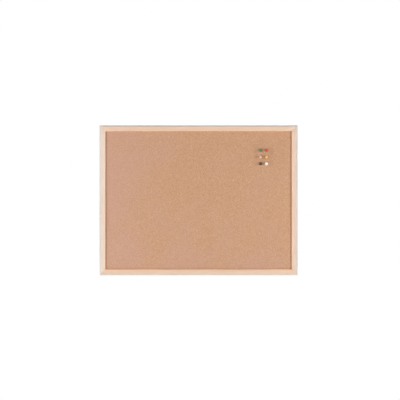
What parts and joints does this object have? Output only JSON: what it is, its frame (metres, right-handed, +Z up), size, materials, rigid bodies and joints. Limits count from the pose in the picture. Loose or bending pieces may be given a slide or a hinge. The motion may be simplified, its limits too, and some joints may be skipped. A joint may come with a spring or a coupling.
{
  "type": "cork board",
  "caption": "Framed cork notice board: mitred pine frame round a cork panel, push pins in the cork, and ring hangers on the back.",
  "frame": {"origin": "centre of the frame's back plane, the plane that lies against the wall", "axes": "+X to the right along the board's width as it is read, +Z up, -Y out of the cork towards the reader, +Y into the wall"},
  "size_m": [0.6, 0.0298, 0.454],
  "materials": {
    "pine": "pale unvarnished pine, fine sanded, grain along each bar",
    "cork": "fine agglomerated cork, matt",
    "fibreboard": "soft fibreboard, matt",
    "kraft": "brown kraft paper, matt",
    "zinc_steel": "zinc plated steel, satin",
    "needle_steel": "bright drawn steel",
    "plastic_green": "glossy moulded plastic",
    "plastic_red": "glossy moulded plastic",
    "plastic_pink": "glossy moulded plastic",
    "plastic_yellow": "glossy moulded plastic",
    "plastic_black": "glossy moulded plastic",
    "plastic_white": "glossy moulded plastic"
  },
  "bodies": {
    "board": {"frame_top_rail": "pine", "frame_right_stile": "pine", "frame_bottom_rail": "pine", "frame_left_stile": "pine", "cork_sheet": "cork", "fibreboard_core": "fibreboard", "backing_sheet": "kraft", "v_nail_top_right_outer": "zinc_steel", "v_nail_top_right_inner": "zinc_steel", "v_nail_bottom_right_outer": "zinc_steel", "v_nail_bottom_right_inner": "zinc_steel", "v_nail_bottom_left_outer": "zinc_steel", "v_nail_bottom_left_inner": "zinc_steel", "v_nail_top_left_outer": "zinc_steel", "v_nail_top_left_inner": "zinc_steel", "hanger_strap_left": "zinc_steel", "hanger_strap_right": "zinc_steel", "hanger_screw_left": "zinc_steel", "hanger_screw_right": "zinc_steel"},
    "ring_left": {"hanger_ring_left": "zinc_steel"},
    "ring_right": {"hanger_ring_right": "zinc_steel"},
    "pin_green": {"pin_head_green": "plastic_green", "pin_needle_green": "needle_steel"},
    "pin_red": {"pin_head_red": "plastic_red", "pin_needle_red": "needle_steel"},
    "pin_pink": {"pin_head_pink": "plastic_pink", "pin_needle_pink": "needle_steel"},
    "pin_yellow": {"pin_head_yellow": "plastic_yellow", "pin_needle_yellow": "needle_steel"},
    "pin_black": {"pin_head_black": "plastic_black", "pin_needle_black": "needle_steel"},
    "pin_white": {"pin_head_white": "plastic_white", "pin_needle_white": "needle_steel"}
  },
  "joints": [
    {"name": "ring_left_swing", "type": "hinge", "parent": "board", "child": "ring_left", "pos_m": [-0.2913, 0.00205, 0.137], "axis": [1, 0, 0], "range_deg": [0, 178]},
    {"name": "ring_right_swing", "type": "hinge", "parent": "board", "child": "ring_right", "pos_m": [0.2913, 0.00205, 0.137], "axis": [1, 0, 0], "range_deg": [0, 178]},
    {"name": "pin_green_pull", "type": "slide", "parent": "board", "child": "pin_green", "axis": [0, -1, 0], "range_m": [0, 0.025]},
    {"name": "pin_red_pull", "type": "slide", "parent": "board", "child": "pin_red", "axis": [0, -1, 0], "range_m": [0, 0.025]},
    {"name": "pin_pink_pull", "type": "slide", "parent": "board", "child": "pin_pink", "axis": [0, -1, 0], "range_m": [0, 0.025]},
    {"name": "pin_yellow_pull", "type": "slide", "parent": "board", "child": "pin_yellow", "axis": [0, -1, 0], "range_m": [0, 0.025]},
    {"name": "pin_black_pull", "type": "slide", "parent": "board", "child": "pin_black", "axis": [0, -1, 0], "range_m": [0, 0.025]},
    {"name": "pin_white_pull", "type": "slide", "parent": "board", "child": "pin_white", "axis": [0, -1, 0], "range_m": [0, 0.025]}
  ]
}
